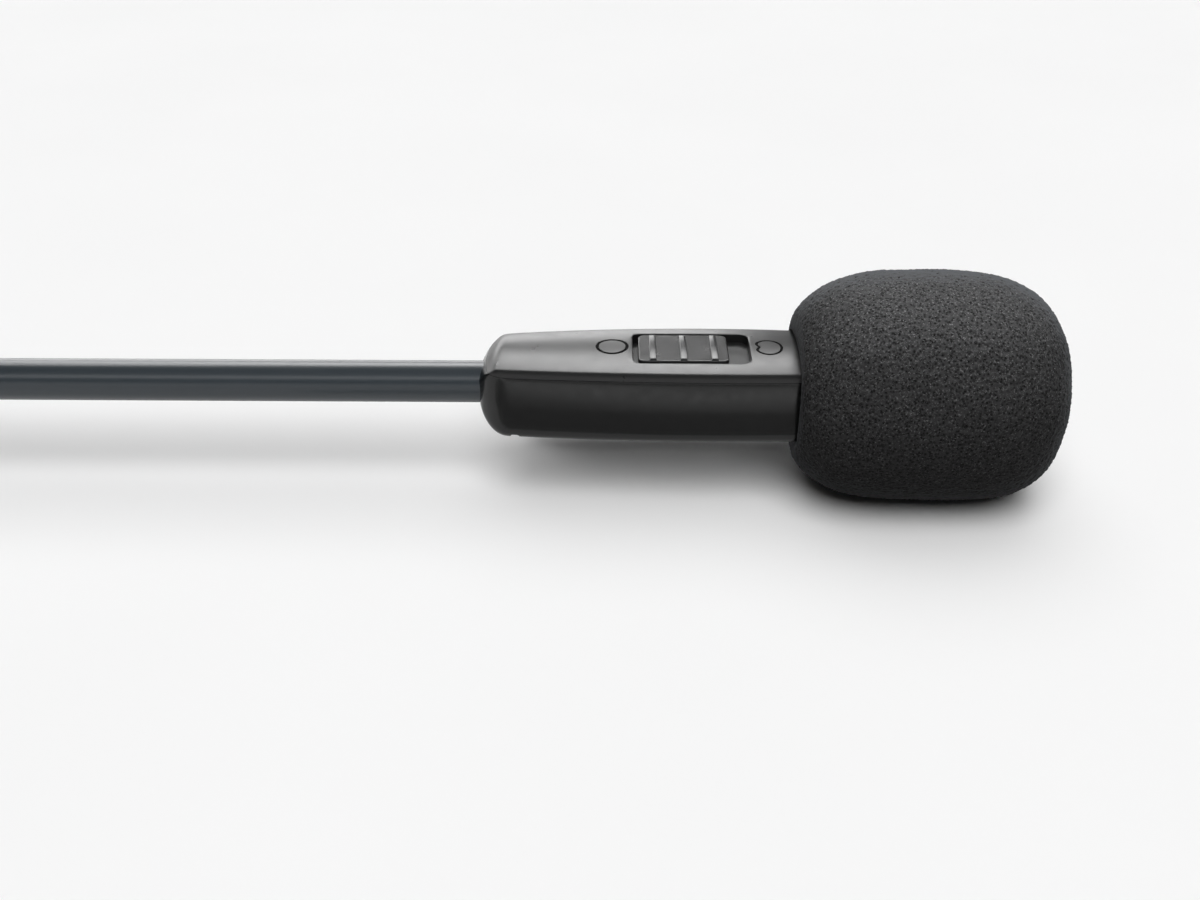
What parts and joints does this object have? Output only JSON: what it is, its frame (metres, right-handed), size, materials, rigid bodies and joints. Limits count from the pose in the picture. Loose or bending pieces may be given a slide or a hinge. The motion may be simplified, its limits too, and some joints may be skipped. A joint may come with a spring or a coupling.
{
  "type": "gooseneck podium microphone",
  "caption": "Gooseneck podium microphone with plug base, flexible neck, slide-switched rectangular head and a foam ball windscreen.",
  "frame": {"origin": "free end of the plug shell, on the neck's axis", "axes": "+X along the neck towards the windscreen, +Z out of the switch face, Y across the head"},
  "size_m": [0.342, 0.033, 0.033],
  "materials": {
    "satin_nickel": "satin black nickel",
    "screw_steel": "dark plated",
    "black_insulator": "moulded",
    "contact_brass": "bright",
    "base_black": "satin",
    "seal_rubber": "matte",
    "board_green": "solder mask",
    "component_black": "moulded",
    "wire_jacket": "jacket",
    "neck_sleeve": "satin slate",
    "cable_black": "jacket",
    "coil_steel": "wound wire",
    "cover_satin": "satin",
    "housing_satin": "satin",
    "knob_grey": "satin",
    "switch_base": "laminate",
    "capsule_metal": "brushed",
    "acoustic_felt": "felt",
    "grille_black": "satin",
    "foam": "open-cell foam"
  },
  "bodies": {
    "base": {"plug_shell": "satin_nickel", "plug_insert": "black_insulator", "contact_pins": "contact_brass", "plug_set_screw": "screw_steel", "base_barrel": "base_black", "barrel_seal": "seal_rubber", "preamp_board": "board_green", "preamp_components": "component_black", "base_wires": "wire_jacket", "barrel_cap": "base_black", "strain_relief": "seal_rubber", "base_ferrule": "contact_brass", "coil_base_end": "coil_steel", "neck_sleeve": "neck_sleeve", "neck_cable": "cable_black"},
    "coil_link_01": {"coil_link_01": "coil_steel"},
    "coil_link_02": {"coil_link_02": "coil_steel"},
    "coil_link_03": {"coil_link_03": "coil_steel"},
    "coil_link_04": {"coil_link_04": "coil_steel"},
    "coil_link_05": {"coil_link_05": "coil_steel"},
    "coil_link_06": {"coil_link_06": "coil_steel"},
    "coil_link_07": {"coil_link_07": "coil_steel"},
    "coil_link_08": {"coil_link_08": "coil_steel"},
    "coil_link_09": {"coil_link_09": "coil_steel"},
    "coil_link_10": {"coil_link_10": "coil_steel"},
    "coil_link_11": {"coil_link_11": "coil_steel"},
    "coil_link_12": {"coil_link_12": "coil_steel"},
    "coil_link_13": {"coil_link_13": "coil_steel"},
    "coil_link_14": {"coil_link_14": "coil_steel"},
    "coil_link_15": {"coil_link_15": "coil_steel"},
    "coil_link_16": {"coil_link_16": "coil_steel"},
    "coil_link_17": {"coil_link_17": "coil_steel"},
    "coil_link_18": {"coil_link_18": "coil_steel"},
    "coil_link_19": {"coil_link_19": "coil_steel"},
    "head": {"coil_head_end": "coil_steel", "head_ferrule": "contact_brass", "neck_clamp": "coil_steel", "top_cover": "cover_satin", "housing_body": "housing_satin", "housing_screws": "screw_steel", "switch_frame": "coil_steel", "switch_base": "switch_base", "switch_terminals": "contact_brass", "circuit_board": "board_green", "board_components": "component_black", "capsule_carrier": "black_insulator", "front_capsule": "capsule_metal", "rear_capsule": "capsule_metal", "acoustic_felt": "acoustic_felt", "head_wires": "wire_jacket", "grille_basket": "grille_black", "grille_cap": "grille_black"},
    "polar_switch": {"slide_knob": "knob_grey", "switch_actuator": "black_insulator", "switch_wiper": "contact_brass"},
    "windscreen": {"foam_windscreen": "foam"}
  },
  "joints": [
    {"name": "neck_bend", "type": "hinge", "parent": "base", "child": "coil_link_01", "pos_m": [0.0903, 0, 0], "axis": [0, -1, 0], "range_deg": [-15, 15], "deforming": ["neck_sleeve", "neck_cable"]},
    {"name": "neck_sway", "type": "hinge", "parent": "coil_link_01", "child": "coil_link_02", "pos_m": [0.0989, 0, 0], "axis": [0, 0, 1], "range_deg": [-15, 15], "deforming": ["neck_sleeve", "neck_cable"]},
    {"name": "neck_bend_02", "type": "hinge", "parent": "coil_link_02", "child": "coil_link_03", "pos_m": [0.1075, 0, 0], "axis": [0, -1, 0], "range_deg": [-15, 15]},
    {"name": "neck_sway_02", "type": "hinge", "parent": "coil_link_03", "child": "coil_link_04", "pos_m": [0.1161, 0, 0], "axis": [0, 0, 1], "range_deg": [-15, 15]},
    {"name": "neck_bend_03", "type": "hinge", "parent": "coil_link_04", "child": "coil_link_05", "pos_m": [0.1247, 0, 0], "axis": [0, -1, 0], "range_deg": [-15, 15]},
    {"name": "neck_sway_03", "type": "hinge", "parent": "coil_link_05", "child": "coil_link_06", "pos_m": [0.1333, 0, 0], "axis": [0, 0, 1], "range_deg": [-15, 15]},
    {"name": "neck_bend_04", "type": "hinge", "parent": "coil_link_06", "child": "coil_link_07", "pos_m": [0.1419, 0, 0], "axis": [0, -1, 0], "range_deg": [-15, 15]},
    {"name": "neck_sway_04", "type": "hinge", "parent": "coil_link_07", "child": "coil_link_08", "pos_m": [0.1505, 0, 0], "axis": [0, 0, 1], "range_deg": [-15, 15]},
    {"name": "neck_bend_05", "type": "hinge", "parent": "coil_link_08", "child": "coil_link_09", "pos_m": [0.1591, 0, 0], "axis": [0, -1, 0], "range_deg": [-15, 15]},
    {"name": "neck_sway_05", "type": "hinge", "parent": "coil_link_09", "child": "coil_link_10", "pos_m": [0.1677, 0, 0], "axis": [0, 0, 1], "range_deg": [-15, 15]},
    {"name": "neck_bend_06", "type": "hinge", "parent": "coil_link_10", "child": "coil_link_11", "pos_m": [0.1763, 0, 0], "axis": [0, -1, 0], "range_deg": [-15, 15]},
    {"name": "neck_sway_06", "type": "hinge", "parent": "coil_link_11", "child": "coil_link_12", "pos_m": [0.1849, 0, 0], "axis": [0, 0, 1], "range_deg": [-15, 15]},
    {"name": "neck_bend_07", "type": "hinge", "parent": "coil_link_12", "child": "coil_link_13", "pos_m": [0.1935, 0, 0], "axis": [0, -1, 0], "range_deg": [-15, 15]},
    {"name": "neck_sway_07", "type": "hinge", "parent": "coil_link_13", "child": "coil_link_14", "pos_m": [0.2021, 0, 0], "axis": [0, 0, 1], "range_deg": [-15, 15]},
    {"name": "neck_bend_08", "type": "hinge", "parent": "coil_link_14", "child": "coil_link_15", "pos_m": [0.2107, 0, 0], "axis": [0, -1, 0], "range_deg": [-15, 15]},
    {"name": "neck_sway_08", "type": "hinge", "parent": "coil_link_15", "child": "coil_link_16", "pos_m": [0.2193, 0, 0], "axis": [0, 0, 1], "range_deg": [-15, 15]},
    {"name": "neck_bend_09", "type": "hinge", "parent": "coil_link_16", "child": "coil_link_17", "pos_m": [0.2279, 0, 0], "axis": [0, -1, 0], "range_deg": [-15, 15]},
    {"name": "neck_sway_09", "type": "hinge", "parent": "coil_link_17", "child": "coil_link_18", "pos_m": [0.2365, 0, 0], "axis": [0, 0, 1], "range_deg": [-15, 15]},
    {"name": "neck_bend_10", "type": "hinge", "parent": "coil_link_18", "child": "coil_link_19", "pos_m": [0.2451, 0, 0], "axis": [0, -1, 0], "range_deg": [-15, 15]},
    {"name": "neck_sway_10", "type": "hinge", "parent": "coil_link_19", "child": "head", "pos_m": [0.2537, 0, 0], "axis": [0, 0, 1], "range_deg": [-15, 15]},
    {"name": "polar_switch", "type": "slide", "parent": "head", "child": "polar_switch", "axis": [1, 0, 0], "range_m": [0, 0.0028]},
    {"name": "windscreen_off", "type": "slide", "parent": "head", "child": "windscreen", "axis": [1, 0, 0], "range_m": [0, 0.045]}
  ],
  "couplings": [
    {"joint": "neck_bend_02", "follows": "neck_bend", "ratio": 1},
    {"joint": "neck_sway_02", "follows": "neck_sway", "ratio": 1},
    {"joint": "neck_bend_03", "follows": "neck_bend", "ratio": 1},
    {"joint": "neck_sway_03", "follows": "neck_sway", "ratio": 1},
    {"joint": "neck_bend_04", "follows": "neck_bend", "ratio": 1},
    {"joint": "neck_sway_04", "follows": "neck_sway", "ratio": 1},
    {"joint": "neck_bend_05", "follows": "neck_bend", "ratio": 1},
    {"joint": "neck_sway_05", "follows": "neck_sway", "ratio": 1},
    {"joint": "neck_bend_06", "follows": "neck_bend", "ratio": 1},
    {"joint": "neck_sway_06", "follows": "neck_sway", "ratio": 1},
    {"joint": "neck_bend_07", "follows": "neck_bend", "ratio": 1},
    {"joint": "neck_sway_07", "follows": "neck_sway", "ratio": 1},
    {"joint": "neck_bend_08", "follows": "neck_bend", "ratio": 1},
    {"joint": "neck_sway_08", "follows": "neck_sway", "ratio": 1},
    {"joint": "neck_bend_09", "follows": "neck_bend", "ratio": 1},
    {"joint": "neck_sway_09", "follows": "neck_sway", "ratio": 1},
    {"joint": "neck_bend_10", "follows": "neck_bend", "ratio": 1},
    {"joint": "neck_sway_10", "follows": "neck_sway", "ratio": 1}
  ]
}
